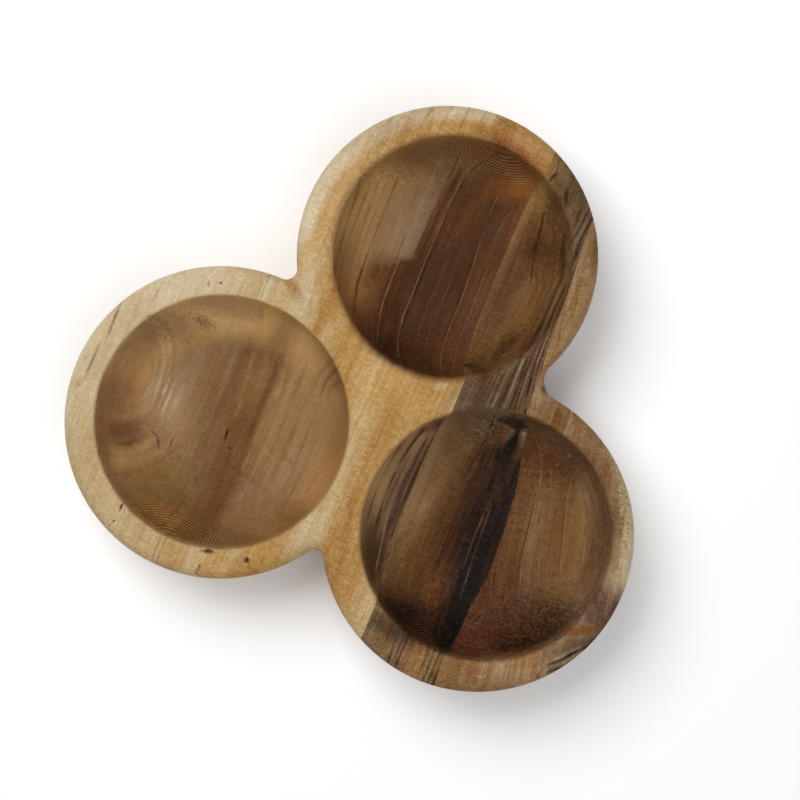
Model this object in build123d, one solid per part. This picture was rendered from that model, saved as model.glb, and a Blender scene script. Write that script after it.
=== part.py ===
"""Snack dish with three round bowls, carved from one thick teak panel.

The panel is four staves glued edge to edge, so the dish comes apart at its three glue lines. The
staves run along +Y, and every glue line is a flat plane that turns a little from +Y and leans a little
from upright.

The origin is on the resting face, below the point midway between the three lobes. +Z is up, and +Y
points at the lobe that stands alone. All sizes are in millimetres and all angles in degrees.
"""

from build123d import *
import os
from math import asin, cos, degrees, radians, sin, sqrt, tan

# The panel
dish_height = 45.0
lobe_spacing = 121.0  # between the axes of two neighbouring lobes
upright_band = 15.0  # how far the outer wall falls straight before it sweeps in to the resting face
rim_round = 6.0  # the outer edge of the rim

# The bowls: a drafted wall, a wide round and a slightly dished floor
floor_thickness = 10.5  # in the middle of a bowl
floor_sag = 2.0
floor_round_share = 0.78  # of the bowl's depth
wall_draft_angle = 7.0

# How far each mouth stops short of midway to the next lobe, and the wall from there to the outside
head_setback = 8.9
left_setback = 6.1
right_setback = 6.4
head_wall = 13.4
left_wall = 13.0
right_wall = 13.3

# The eased edge of each mouth
head_lip_round = 3.0
left_lip_round = 1.6
right_lip_round = 2.2

# The plan fillets in the three notches, where two lobes meet
head_left_notch = 4.6
left_right_notch = 3.5
right_head_notch = 9.0

# How far each hand-cut bowl stands off the axis of its lobe
head_bowl_shift = (2.3, 0.8)
left_bowl_shift = (0.8, 0.5)
right_bowl_shift = (3.0, 2.0)

# The staves: the left glue line passes outside the head lobe, and the right one just inside the right
# notch, where it leaves the right stave a narrow neck
left_glue_clearance = 1.6
neck_width = 3.7
dark_stave_width = 30.9

# The turn of each glue line from +Y, seen from above, and its lean, which is positive where the plane
# goes towards +X on its way down
left_glue_turn = 1.6
centre_glue_turn = 2.1
right_glue_turn = 5.0
left_glue_lean = 9.0
centre_glue_lean = -5.0
right_glue_lean = 11.5

cut_overrun = 5.0  # how far a cutter stands past the face that it opens


class Lobe:
    """One round of the dish: where it stands, how large it is and the bowl that is cut in it."""

    def __init__(self, direction, setback, wall, lip_round, bowl_shift):
        reach = lobe_spacing / sqrt(3)
        self.centre = Vector(reach * cos(radians(direction)), reach * sin(radians(direction)))
        self.mouth_radius = lobe_spacing / 2 - setback
        self.radius = self.mouth_radius + wall
        self.lip_round = lip_round
        self.bowl_centre = self.centre + Vector(*bowl_shift)


head = Lobe(90, head_setback, head_wall, head_lip_round, head_bowl_shift)
left = Lobe(210, left_setback, left_wall, left_lip_round, left_bowl_shift)
right = Lobe(330, right_setback, right_wall, right_lip_round, right_bowl_shift)
lobes = [head, left, right]
notches = [
    (head, left, head_left_notch),
    (left, right, left_right_notch),
    (right, head, right_head_notch),
]


def notch_point(first, second, notch_round=0):
    """The innermost point of the notch between two lobes, whose circles cross there if it isn't filleted."""
    across = second.centre - first.centre
    first_reach = first.radius + notch_round
    second_reach = second.radius + notch_round
    along = (first_reach**2 - second_reach**2 + across.length**2) / (2 * across.length)
    aside = sqrt(first_reach**2 - along**2) - notch_round
    points = [
        first.centre + across.normalized() * along + across.normalized().rotate(Axis.Z, turn) * aside
        for turn in (90, -90)
    ]
    return max(points, key=lambda point: point.length)


def plan_outline():
    """The trefoil seen from above: three discs, the web between them and the filleted notches."""
    outline = Polygon(*[(lobe.centre.X, lobe.centre.Y) for lobe in lobes], align=None)
    for lobe in lobes:
        outline += Pos(lobe.centre) * Circle(lobe.radius)
    for first, second, notch_round in notches:
        corner = outline.vertices().sort_by_distance(notch_point(first, second))[0]
        outline = fillet(corner, notch_round)
    return outline


def carved_block():
    """The panel cut to the trefoil, with its outer wall swept under and the rim eased."""
    block = extrude(plan_outline(), dish_height)
    block = fillet(block.faces().sort_by(Axis.Z)[0].edges(), dish_height - upright_band)
    return fillet(block.faces().sort_by(Axis.Z)[-1].edges(), rim_round)


def bowl_cutter(lobe):
    """The solid of revolution that hollows one bowl."""
    bowl_depth = dish_height - floor_thickness
    wall_foot = lobe.mouth_radius - (bowl_depth - floor_sag) * tan(radians(wall_draft_angle))
    floor_radius = (wall_foot**2 + floor_sag**2) / (2 * floor_sag)
    floor_turn = degrees(asin(wall_foot / floor_radius))
    floor_arc = JernArc((0, floor_thickness), (1, 0), floor_radius, floor_turn)
    wall_top = lobe.mouth_radius + cut_overrun * tan(radians(wall_draft_angle))
    wall_and_axis = Polyline(
        floor_arc @ 1,
        (wall_top, dish_height + cut_overrun),
        (0, dish_height + cut_overrun),
        (0, floor_thickness),
    )
    half_section = make_face(floor_arc + wall_and_axis)
    foot = half_section.vertices().sort_by_distance(floor_arc @ 1)[0]
    half_section = fillet(foot, bowl_depth * floor_round_share)
    return Pos(lobe.bowl_centre) * revolve(Plane.XZ * half_section, Axis.Z)


def eased_mouth(dish, lobe):
    """Rounds the edge where a bowl opens in the rim."""
    mouth_centre = lobe.bowl_centre + Vector(0, 0, dish_height)
    mouth = dish.edges().filter_by(GeomType.CIRCLE).sort_by(
        lambda edge: (edge.arc_center - mouth_centre).length + abs(edge.radius - lobe.mouth_radius)
    )[0]
    return fillet(mouth, lobe.lip_round)


def glue_plane(crossing_x, turn, lean):
    """A glue line's plane, which crosses the X axis at the rim's height, with its normal towards +X."""
    grain = Vector(0, 1, 0).rotate(Axis.Z, turn)
    down = Vector(sin(radians(lean)), 0, -cos(radians(lean)))
    return Plane(origin=(crossing_x, 0, dish_height), x_dir=grain, z_dir=down.cross(grain))


def staves(dish):
    """The four staves, from -X to +X, cut apart at the glue lines."""
    right_notch = notch_point(right, head, right_head_notch)
    left_glue_x = -head.radius - left_glue_clearance
    right_glue_x = right_notch.X - neck_width + right_notch.Y * tan(radians(right_glue_turn))
    glue_lines = [
        ("left_stave", glue_plane(left_glue_x, left_glue_turn, left_glue_lean)),
        ("wide_stave", glue_plane(right_glue_x - dark_stave_width, centre_glue_turn, centre_glue_lean)),
        ("dark_stave", glue_plane(right_glue_x, right_glue_turn, right_glue_lean)),
    ]
    rest = dish
    pieces = {}
    for name, plane in glue_lines:
        pieces[name] = split(rest, bisect_by=plane, keep=Keep.BOTTOM)
        rest = split(rest, bisect_by=plane, keep=Keep.TOP)
    pieces["right_stave"] = rest
    return pieces


dish = carved_block()
for lobe in lobes:
    dish -= bowl_cutter(lobe)
for lobe in lobes:
    dish = eased_mouth(dish, lobe)

os.makedirs("parts", exist_ok=True)
for name, stave in staves(dish).items():
    stave.label = name
    export_step(stave, f"parts/{name}.step")
    print(name, len(stave.solids()), "solid, volume", round(stave.volume), "cubic millimetres")
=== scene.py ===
from math import cos, pi, radians, sin

import bmesh
import bpy
from mathutils import Matrix, Vector
from mathutils.bvhtree import BVHTree


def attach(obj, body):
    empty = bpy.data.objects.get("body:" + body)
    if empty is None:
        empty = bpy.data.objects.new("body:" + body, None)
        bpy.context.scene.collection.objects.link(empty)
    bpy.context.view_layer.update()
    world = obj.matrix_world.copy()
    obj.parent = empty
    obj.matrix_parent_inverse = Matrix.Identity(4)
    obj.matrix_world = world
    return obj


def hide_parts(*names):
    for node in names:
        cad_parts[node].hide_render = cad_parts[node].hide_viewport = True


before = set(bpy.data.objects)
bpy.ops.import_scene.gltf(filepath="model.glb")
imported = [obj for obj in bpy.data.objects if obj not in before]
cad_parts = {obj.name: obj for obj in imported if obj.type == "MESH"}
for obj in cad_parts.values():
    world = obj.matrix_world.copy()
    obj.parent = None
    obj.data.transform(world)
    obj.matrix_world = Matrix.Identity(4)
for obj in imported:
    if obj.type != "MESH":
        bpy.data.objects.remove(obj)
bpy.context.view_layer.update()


# Left stave: the outer left part of the left lobe, flat-sawn, so that its rings make ovals on the wall of
# the bowl, beside a knot. It is teak, planed on one edge, glued there to the wide stave and carved with it.
# Its part of the bowl is thinly oiled, dark and satin, and its rim and outside are left pale and dull.

MM = 0.001


def tone(red, green, blue):
    """A colour as it looks on a screen, from 0 to 255, turned into the linear colour that a shader takes."""
    return [((part / 255 + 0.055) / 1.055) ** 2.4 for part in (red, green, blue)] + [1.0]


cream = tone(200, 181, 148)
sapwood = tone(193, 172, 136)
straw = tone(182, 154, 108)
wheat = tone(190, 148, 90)
toffee = tone(170, 130, 84)
sand = tone(156, 129, 97)
honey = tone(172, 132, 76)
amber = tone(152, 106, 56)
tan = tone(146, 112, 74)
fawn = tone(128, 97, 62)
brown = tone(112, 78, 45)
chestnut = tone(96, 60, 34)
rust = tone(138, 84, 46)
russet = tone(88, 50, 33)
umber = tone(76, 48, 27)
dark_umber = tone(58, 36, 21)
plum = tone(86, 59, 46)
mauve = tone(118, 91, 72)
ash = tone(134, 111, 84)
olive = tone(106, 80, 48)
golden_olive = tone(116, 86, 46)
pitch = tone(36, 27, 22)
soot = tone(27, 22, 19)
# painted_glow is painted light: a pale honey laid on the bowl walls by the mouths, where they lie in shade.
painted_glow = tone(234, 190, 124)


def node_group(name, kind, inputs, output):
    """An empty group of nodes with those sockets, each a name and a kind."""
    tree = bpy.data.node_groups.new(name, kind)
    for title, holds in inputs:
        tree.interface.new_socket(title, in_out="INPUT", socket_type="NodeSocket" + holds)
    tree.interface.new_socket(output[0], in_out="OUTPUT", socket_type="NodeSocket" + output[1])
    return tree, tree.nodes.new("NodeGroupInput").outputs, tree.nodes.new("NodeGroupOutput").inputs[0]


def fill(tree, socket, value):
    """Joins a socket to another one, or writes a plain value on it."""
    if isinstance(value, bpy.types.NodeSocket):
        tree.links.new(value, socket)
    else:
        socket.default_value = value


def put_node(tree, kind, inputs, output=0, **settings):
    """Adds a node, fills its inputs and gives one of its outputs."""
    node = tree.nodes.new(kind)
    for setting, value in settings.items():
        setattr(node, setting, value)
    for name, value in inputs.items():
        fill(tree, node.inputs[name], value)
    return node.outputs[output]


def lay_colour(tree, mask, given):
    """Nodes of a group that lay its colour over the one under it, where the mask is 1."""
    laid = {0: mask, 6: given["Under"], 7: given["Colour"]}
    return put_node(tree, "ShaderNodeMix", laid, output=2, data_type="RGBA")


def smooth_step(tree, value, start, end, top=1.0):
    """A node that is 0 before start, top past end and smooth between them."""
    span = {"Value": value, "From Min": start, "From Max": end, "To Max": top}
    return put_node(tree, "ShaderNodeMapRange", span, interpolation_type="SMOOTHSTEP", clamp=False)


def spot_group():
    """Lays a soft and ragged oval of one colour over another colour."""
    inputs = [
        ("Under", "Color"), ("Colour", "Color"), ("Strength", "Float"), ("Reach", "Float"),
        ("Tatter", "Float"), ("Ragged", "Float"), ("Outer", "Float"), ("Inner", "Float"),
    ]
    tree, given, result = node_group("spot", "ShaderNodeTree", inputs, ("Colour", "Color"))
    torn = {0: given["Tatter"], 1: given["Ragged"], 2: given["Reach"]}
    reach = put_node(tree, "ShaderNodeMath", torn, operation="MULTIPLY_ADD")
    mask = smooth_step(tree, reach, given["Outer"], given["Inner"], given["Strength"])
    fill(tree, result, lay_colour(tree, mask, given))
    return tree


def line_group():
    """Lays a line along the grain over a colour; it fades out past both ends."""
    inputs = [
        ("Under", "Color"), ("Colour", "Color"), ("Strength", "Float"), ("Width", "Float"),
        ("Across", "Float"), ("Path", "Float"), ("Along", "Float"), ("Middle", "Float"),
        ("Half length", "Float"), ("Faded length", "Float"), ("Wear", "Float"),
    ]
    tree, given, result = node_group("line", "ShaderNodeTree", inputs, ("Colour", "Color"))

    def gap(first, second):
        apart = put_node(tree, "ShaderNodeMath", {0: given[first], 1: given[second]}, operation="SUBTRACT")
        return put_node(tree, "ShaderNodeMath", {0: apart}, operation="ABSOLUTE")

    past_middle = gap("Along", "Middle")
    ends = smooth_step(tree, past_middle, given["Faded length"], given["Half length"], given["Strength"])
    ends = put_node(tree, "ShaderNodeMath", {0: ends, 1: given["Wear"]}, operation="MULTIPLY")
    mask = smooth_step(tree, gap("Across", "Path"), given["Width"], 0.0, ends)
    fill(tree, result, lay_colour(tree, mask, given))
    return tree


spot_nodes = spot_group()
line_nodes = line_group()


class Field:
    """A number or a colour at each point of the wood, made by nodes of its material."""

    def __init__(self, wood, socket):
        self.wood = wood
        self.socket = socket

    def __add__(self, other):
        return self.wood.math("ADD", self, other)

    def __sub__(self, other):
        return self.wood.math("SUBTRACT", self, other)

    def __rsub__(self, other):
        return self.wood.math("SUBTRACT", other, self)

    def __mul__(self, other):
        return self.wood.math("MULTIPLY", self, other)

    def __truediv__(self, other):
        return self.wood.math("DIVIDE", self, other)

    def __abs__(self):
        return self.wood.math("ABSOLUTE", self)

    def rise(self, start, end):
        """0 before start, 1 past end and smooth between them. It falls where start is the larger."""
        return Field(self.wood, smooth_step(self.wood.tree, self.socket, start, end))

    def bands(self, *stops):
        """A colour that changes with the number: stops are (number, colour), in order."""
        wood = self.wood
        first, last = stops[0][0], stops[-1][0]
        span = {"Value": self, "From Min": first, "From Max": last}
        share = wood.node("MapRange", span, clamp=False)
        node = wood.tree.nodes.new("ShaderNodeValToRGB")
        fill(wood.tree, node.inputs["Fac"], share.socket)
        ramp = node.color_ramp
        for place, colour in stops[1:-1]:
            ramp.elements.new((place - first) / (last - first)).color = colour
        ramp.elements[0].color = stops[0][1]
        ramp.elements[-1].color = stops[-1][1]
        return Field(wood, node.outputs["Color"])

    def over(self, mask, colour):
        """Lays a colour over this one where the mask is 1."""
        return self.wood.node("Mix", {0: mask, 6: self, 7: colour}, output=2, data_type="RGBA")

    def deepen(self, power):
        """Wood turns darker and redder where power is over 1, and paler below it."""
        return self.wood.node("Gamma", {"Color": self, "Gamma": power})

    def lines(self, *rows):
        """Lays lines along the grain; each is a width, a colour, a strength and its points from +y to -y."""
        wood = self.wood
        across = wood.x + wood.shiver
        under = self
        for width, colour, strength, *points in rows:
            start, end = points[0][1], points[-1][1]
            half = abs(start - end) / 2
            inputs = {
                "Under": under,
                "Colour": colour,
                "Strength": strength,
                "Width": width,
                "Across": across,
                "Path": wood.path(points),
                "Along": wood.y,
                "Middle": (start + end) / 2,
                "Half length": half,
                "Faded length": half + wood.line_fade,
                "Wear": wood.wear,
            }
            under = wood.node("Group", inputs, node_tree=line_nodes)
        return under

    def spots(self, *rows, tatter=None):
        """Lays ovals; each is a centre, size, turn, softness, raggedness, colour and strength."""
        wood = self.wood
        under = self
        for centre, size, turn, soft, ragged, colour, strength in rows:
            inputs = {
                "Under": under,
                "Colour": colour,
                "Strength": strength,
                "Reach": wood.reach(centre, size, turn),
                "Tatter": tatter or wood.tatter,
                "Ragged": ragged,
                "Outer": 1 + soft,
                "Inner": 1 - soft,
            }
            under = wood.node("Group", inputs, node_tree=spot_nodes)
        return under

    def specks(self, *rows):
        """Lays ovals that fall apart into fine specks; each is given as in spots."""
        return self.spots(*rows, tatter=self.wood.grit)


class Wood:
    """The material of one stave. Its grain runs along y, and its places and sizes are in millimetres.

    lean turns the fine grain from +y towards -x, in degrees.
    """

    axis_span = 400.0
    oval_limit = 3.0
    ring_tatter = 0.12
    line_fade = 5.0
    sample_step = 17.3
    wide_circle = 100.0
    endless = 1e6

    def __init__(self, name, sample, lean=0.0):
        self.material = bpy.data.materials.new(name)
        self.material.use_nodes = True
        self.tree = self.material.node_tree
        self.shader = self.tree.nodes["Principled BSDF"]
        self.sample = sample
        self.lean = lean
        place = self.node("TexCoord", {}, output="Object")
        self.point = self.node("Mapping", {"Vector": place, "Scale": (1 / MM, 1 / MM, 1 / MM)})
        self.x = self.axis((0, 0, 0))
        self.y = self.axis((0, 0, -pi / 2))
        self.z = self.axis((0, pi / 2, 0))
        self.drift = (self.noise(16, 80, 16) - 0.5) * 5 + (self.noise(4, 26, 4) - 0.5) * 1.6
        self.shiver = (self.noise(2.5, 18, 2.5) - 0.5) * 1.1
        self.fibre = self.noise(0.7, 26, 0.7, detail=3)
        self.strand = self.noise(2.6, 60, 2.6, detail=2)
        self.fleck = self.noise(5, 1.7, 5, detail=2)
        self.scratch = self.noise(4, 0.5, 4, detail=2)
        self.cloud = self.noise(22, 40, 22, detail=2)
        self.tatter = self.noise(2.4, 6, 2.4, detail=3) - 0.5
        self.grit = self.noise(1.3, 0.9, 1.3, detail=2) - 0.5
        self.wear = self.noise(5, 15, 5).rise(0.28, 0.6) * 0.7 + 0.3

    def node(self, kind, inputs, output=0, **settings):
        """Adds a node, fills its inputs with fields or plain values, and gives one of its outputs."""
        sockets = dict(inputs)
        for name, value in inputs.items():
            if isinstance(value, Field):
                sockets[name] = value.socket
        return Field(self, put_node(self.tree, "ShaderNode" + kind, sockets, output, **settings))

    def math(self, operation, *inputs):
        return self.node("Math", dict(enumerate(inputs)), operation=operation)

    def axis(self, rotation):
        """Where a point is along the axis that the rotation turns to +x."""
        inputs = {
            "Vector": self.point,
            "Location": (0.5, 0, 0),
            "Rotation": rotation,
            "Scale": (1 / self.axis_span, 1 / self.axis_span, 1 / self.axis_span),
        }
        place = self.node("Mapping", inputs)
        share = self.node("TexGradient", {"Vector": place}, output="Fac", gradient_type="LINEAR")
        return self.math("MULTIPLY_ADD", share, self.axis_span, -self.axis_span / 2)

    def noise(self, across, along, up, detail=1.0):
        """Smooth noise from 0 to 1, with cells of those sizes; each call gives another pattern."""
        self.sample += self.sample_step
        inputs = {
            "Vector": self.point,
            "Location": (self.sample * 9, self.sample * 7, self.sample * 4),
            "Rotation": (0, 0, radians(self.lean)),
            "Scale": (across, along, up),
        }
        place = self.node("Mapping", inputs, vector_type="TEXTURE")
        return self.node("TexNoise", {"Vector": place, "Scale": 1.0, "Detail": detail})

    def path(self, points):
        """How far across the stave a curve is, at each place along it; points are (x, y) from +y to -y."""
        node = self.tree.nodes.new("ShaderNodeFloatCurve")
        fill(self.tree, node.inputs["Value"], self.y.socket)
        node.mapping.use_clip = False
        curve = node.mapping.curves[0]
        ordered = [(y, x) for x, y in reversed(points)]
        curve.points[0].location = ordered[0]
        curve.points[1].location = ordered[-1]
        for place in ordered[1:-1]:
            curve.points.new(*place)
        node.mapping.update()
        return Field(self, node.outputs["Value"])

    def reach(self, centre, size, turn=0.0):
        """How far a point is from an upright axis, as a share of the half width and half length of an oval.

        turn leans the oval's length from +y towards -x, in degrees. The share stops at oval_limit.
        """
        reach = self.oval_limit / 2
        inputs = {
            "Vector": self.point,
            "Location": (centre[0], centre[1], 0),
            "Rotation": (0, 0, radians(turn)),
            "Scale": (size[0] * reach, size[1] * reach, self.endless),
        }
        place = self.node("Mapping", inputs, vector_type="TEXTURE")
        nearness = self.node("TexGradient", {"Vector": place}, output="Fac", gradient_type="SPHERICAL")
        return self.math("MULTIPLY_ADD", nearness, -self.oval_limit, self.oval_limit)

    def ring(self, centre, size, turn, width):
        """The outline of an oval, as a line of that width."""
        reach = self.math("MULTIPLY_ADD", self.tatter, self.ring_tatter, self.reach(centre, size, turn))
        return abs(reach - 1).rise(width / size[0] * 2, 0)

    def from_axis(self, centre):
        """How far a point is from an upright axis, up to 150 mm."""
        return self.reach(centre, (self.wide_circle, self.wide_circle)) * (self.wide_circle / 2)


class Bowl:
    """One bowl: the middle and the size of its oiled mouth, and how softly the oil ends there."""

    dry_below = 7
    lip_reach = 42
    wall_width = 15
    cutter_reach = 88.0
    cutter_pitch = 0.95
    end_grain = (0.68, 0.92)

    def __init__(self, centre, size, soft):
        self.centre = centre
        self.size = size
        self.soft = soft

    def inside(self, wood):
        """1 in the bowl, and 0 outside it and under its floor."""
        half = self.size[0] / 2
        edge = wood.reach(self.centre, self.size) * half + wood.tatter * 1.6 + wood.grit * self.soft
        above = edge.rise(half + self.soft, half - self.soft)
        return above * wood.z.rise(self.dry_below, self.dry_below + 1)

    def painted_light_by_mouth(self, wood, bearing, start=32.0, spread=50.0):
        """Where light is painted by the mouth: 1 on the wall towards that bearing, and 0 on the floor and on
        the far side.
        """
        turn = radians(bearing)
        aside = (wood.x - self.centre[0]) * cos(turn) + (wood.y - self.centre[1]) * sin(turn)
        wall = wood.from_axis(self.centre).rise(start, start + self.wall_width)
        return wall * aside.rise(self.lip_reach - spread, self.lip_reach)

    def cutter_marks(self, wood):
        """The fine arcs that the cutter leaves where it meets the end grain, as a wave and its mask."""
        along = abs(wood.y - self.centre[1])
        aside = wood.x - self.centre[0]
        short = self.cutter_reach - along
        reach = wood.math("SQRT", aside * aside + short * short)
        wave = wood.math("SINE", (reach + wood.shiver * 0.5) * (2 * pi / self.cutter_pitch))
        steep = (along / (self.size[0] / 2)).rise(*self.end_grain)
        patchy = wood.noise(7, 7, 7, detail=2).rise(0.36, 0.6)
        return wave * 0.5 + 0.5, steep * patchy * self.inside(wood)


left_bowl = Bowl((-60.0, -34.0), (109.2, 108.8), 1.0)
head_bowl = Bowl((2.4, 69.6), (101.6, 105.6), 2.4)
right_bowl = Bowl((63.0, -33.0), (108.4, 107.6), 1.4)


def finish_wood(wood, pale, bowls, gloss, grain):
    """Joins the dry outside and the oiled bowls, and gives the wood its pores, sheen and relief.

    pale is the colour outside, bowls are (bowl, colour), and grain is how strongly grain shows in them.
    """
    dry_grain = 0.58
    mark_depth = 0.6
    dry_roughness = 0.6
    oil_smoothing = 0.22
    relief_strength = 0.6
    relief_height = 0.12 * MM
    fine = (wood.fibre - 0.5) * 0.9 + (wood.strand - 0.5) * 0.8 + (wood.fleck - 0.5) * 0.5
    cross = (wood.scratch - 0.5) * wood.wear + wood.grit * 1.1
    pores = wood.noise(0.45, 5, 0.45, detail=1).rise(0.66, 0.74)
    colour = pale.deepen((fine + cross) * dry_grain + (wood.cloud - 0.5) * 0.7 + pores * 0.25 + 1.0)
    oiled = 0.0
    relief = wood.fibre * 0.5 + wood.scratch * 0.3 - pores * 0.8
    for bowl, wall in bowls:
        inside = bowl.inside(wood)
        wave, marks = bowl.cutter_marks(wood)
        power = (fine + cross) * grain + (wood.cloud - 0.5) * 0.3 + pores * 0.18
        power = power + marks * (0.5 - wave) * mark_depth + 1.0
        colour = colour.over(inside, wall.deepen(power))
        relief = relief + wave * marks * 0.8
        oiled = inside + oiled
    rough = dry_roughness - oiled * oil_smoothing + (wood.fibre - 0.5) * 0.14
    fill(wood.tree, wood.shader.inputs["Base Color"], colour.socket)
    fill(wood.tree, wood.shader.inputs["Roughness"], rough.socket)
    fill(wood.tree, wood.shader.inputs["Specular IOR Level"], gloss)
    heights = {"Height": relief, "Strength": relief_strength, "Distance": relief_height}
    fill(wood.tree, wood.shader.inputs["Normal"], wood.node("Bump", heights, output="Normal").socket)
    return wood.material


def opened_wood():
    """The tree that cuts pinholes, checks and bark pockets in a stave and gives it its wood."""
    inputs = [("Stave", "Geometry"), ("Flaws", "Object"), ("Edge angle", "Float"), ("Wood", "Material")]
    tree, given, result = node_group("opened_wood", "GeometryNodeTree", inputs, ("Stave", "Geometry"))
    flaws = put_node(tree, "GeometryNodeObjectInfo", {"Object": given["Flaws"]}, output="Geometry")
    meshes = {"Mesh 1": given["Stave"], "Mesh 2": flaws}
    cut = put_node(tree, "GeometryNodeMeshBoolean", meshes, operation="DIFFERENCE", solver="EXACT")
    angle = put_node(tree, "GeometryNodeInputMeshEdgeAngle", {}, output="Unsigned Angle")
    angles = {"A": angle, "B": given["Edge angle"]}
    gentle = put_node(tree, "FunctionNodeCompare", angles, output="Result", operation="LESS_EQUAL")
    faces = put_node(tree, "GeometryNodeSetShadeSmooth", {"Geometry": cut})
    edges = {"Geometry": faces, "Shade Smooth": gentle}
    smooth = put_node(tree, "GeometryNodeSetShadeSmooth", edges, domain="EDGE")
    plain = put_node(tree, "GeometryNodeRealizeInstances", {"Geometry": smooth})
    dressed = {"Geometry": plain, "Material": given["Wood"]}
    fill(tree, result, put_node(tree, "GeometryNodeSetMaterial", dressed))
    return tree


carving = opened_wood()


def stave(node_name, material, *flaws):
    """Makes a piece of a copy of a CAD stave, with its flaws cut in it.

    A flaw is (x, y), its width, length and depth, and its turn from +y in degrees. It is a lens-shaped
    hollow, set where a plumb line through (x, y) meets the wood.
    """
    merge_distance = 1e-6
    plumb_height = 100
    smooth_angle = 32
    blank = bmesh.new()
    blank.from_mesh(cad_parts[node_name].data)
    bmesh.ops.remove_doubles(blank, verts=blank.verts, dist=merge_distance)
    surface = BVHTree.FromBMesh(blank)
    cutters = bmesh.new()
    for place, width, length, depth, turn in flaws:
        above = Vector((place[0], place[1], plumb_height)) * MM
        landing = surface.ray_cast(above, Vector((0, 0, -1)))[0]
        scale = Matrix.Diagonal((width / 2 * MM, length / 2 * MM, depth * MM, 1))
        lens = Matrix.Translation(landing) @ Matrix.Rotation(radians(turn), 4, "Z") @ scale
        bmesh.ops.create_icosphere(cutters, subdivisions=3, radius=1, matrix=lens)
    objects = []
    for name, shape in (("carved_" + node_name, blank), (node_name + "_flaws", cutters)):
        mesh = bpy.data.meshes.new(name)
        shape.to_mesh(mesh)
        shape.free()
        made = bpy.data.objects.new(name, mesh)
        bpy.context.scene.collection.objects.link(made)
        objects.append(made)
    piece, tool = objects
    carve = piece.modifiers.new("opened wood", "NODES")
    carve.node_group = carving
    values = {"Flaws": tool, "Edge angle": radians(smooth_angle), "Wood": material}
    for item in carving.interface.items_tree:
        if item.in_out == "INPUT" and item.name in values:
            carve[item.identifier] = values[item.name]
    bpy.context.view_layer.update()
    shaped = piece.evaluated_get(bpy.context.evaluated_depsgraph_get())
    result = bpy.data.meshes.new_from_object(shaped)
    piece.modifiers.remove(carve)
    piece.data = result
    bpy.data.objects.remove(tool)
    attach(piece, "root")
    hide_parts(node_name)


left_wood = Wood("left_stave_teak", sample=3.0)

# Rim and outside of the left stave.
across = left_wood.x + left_wood.drift
pale = across.bands((-128, cream), (-112, sapwood), (-98, cream), (-80, sapwood), (-62, straw))
pale = pale.over(left_wood.y.rise(-52, -88) * 0.6, straw)
pale = pale.spots(
    ((-100, -72), (10, 50), 42, 0.8, 0.4, straw, 0.5),
    ((-119.5, -13), (1.3, 15), 3, 0.7, 1.4, mauve, 0.75),
    ((-120.8, -33), (1.3, 12), 0, 0.7, 1.4, mauve, 0.65),
    ((-122.5, -44), (2.0, 6), 0, 0.8, 1.4, tan, 0.5),
    ((-107.2, 5), (1.2, 9), -6, 0.8, 1.4, fawn, 0.4),
    ((-106.2, -5.4), (1.0, 2.6), -60, 0.6, 0.8, brown, 0.8),
    ((-88.7, 17.6), (1.0, 2.2), 20, 0.6, 0.8, tan, 0.8),
    ((-84.0, 20.0), (1.4, 1.2), 0, 0.6, 0.6, brown, 0.7),
    ((-84.4, -85.0), (1.0, 3.6), 0, 0.6, 0.8, dark_umber, 0.8),
    ((-84.8, -91.7), (0.8, 1.8), -30, 0.6, 0.6, brown, 0.8),
    ((-72, -92), (2.0, 10), 0, 0.8, 0.6, tan, 0.4),
)

# Left bowl, with the knot low in its wall and growth rings in ovals above and below the knot.
wall = across.bands(
    (-114, honey), (-106, toffee), (-98, toffee), (-90, tan), (-80, tan), (-72, fawn), (-66, brown),
    (-58, brown)
)
# Painted light: the wall by the mouth is painted paler where it lies in shade, most towards the upper left
# and a little at the bottom.
wall = wall.over(left_bowl.painted_light_by_mouth(left_wood, 150, start=31), painted_glow)
wall = wall.over(left_bowl.painted_light_by_mouth(left_wood, 160, start=42) * 0.5, cream)
wall = wall.over(left_bowl.painted_light_by_mouth(left_wood, 262, start=41) * 0.3, honey)
wall = wall.spots(
    # A painted sheen: these two ovals are the pale patch of a lamp's reflection on the left of the floor.
    ((-89, -35), (18, 38), 0, 0.9, 0.4, sand, 0.85),
    ((-91, -36), (11, 28), 0, 0.9, 0.6, wheat, 0.2),
    ((-78, -14), (26, 40), 0, 0.9, 0.3, golden_olive, 0.3),
    ((-95, -10), (10, 15), 12, 0.7, 1.2, fawn, 0.3),
    ((-73, -71), (30, 28), 0, 0.9, 0.3, golden_olive, 0.85),
    ((-70, -34), (14, 50), 0, 0.9, 0.3, golden_olive, 0.5),
    ((-76, -84), (44, 8), 0, 0.8, 0.3, amber, 0.5),
    ((-107, -44), (15, 24), 8, 0.6, 0.2, rust, 0.8),
    ((-106, -24), (12, 22), 4, 0.7, 0.2, amber, 0.65),
    ((-100, -57), (17, 18), -30, 0.5, 0.3, rust, 0.6),
    ((-98.5, -58.5), (13, 12), -25, 0.5, 0.3, russet, 0.7),
    ((-93, -51), (14, 10), 10, 0.8, 0.5, brown, 0.45),
    ((-103, -70), (7, 24), 38, 0.7, 0.4, rust, 0.5),
    ((-88, -71), (13, 13), 0, 0.8, 0.4, rust, 0.4),
)
wall = wall.specks(
    ((-95, -4), (20, 12), 14, 0.7, 3.0, chestnut, 0.45),
    ((-87, 1.5), (8, 4), 0, 0.7, 2.4, chestnut, 0.6),
    ((-105, -11), (9, 10), 30, 0.7, 3.0, brown, 0.5),
    ((-78, 12), (30, 8), 14, 0.8, 3.0, tan, 0.5),
)
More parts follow.
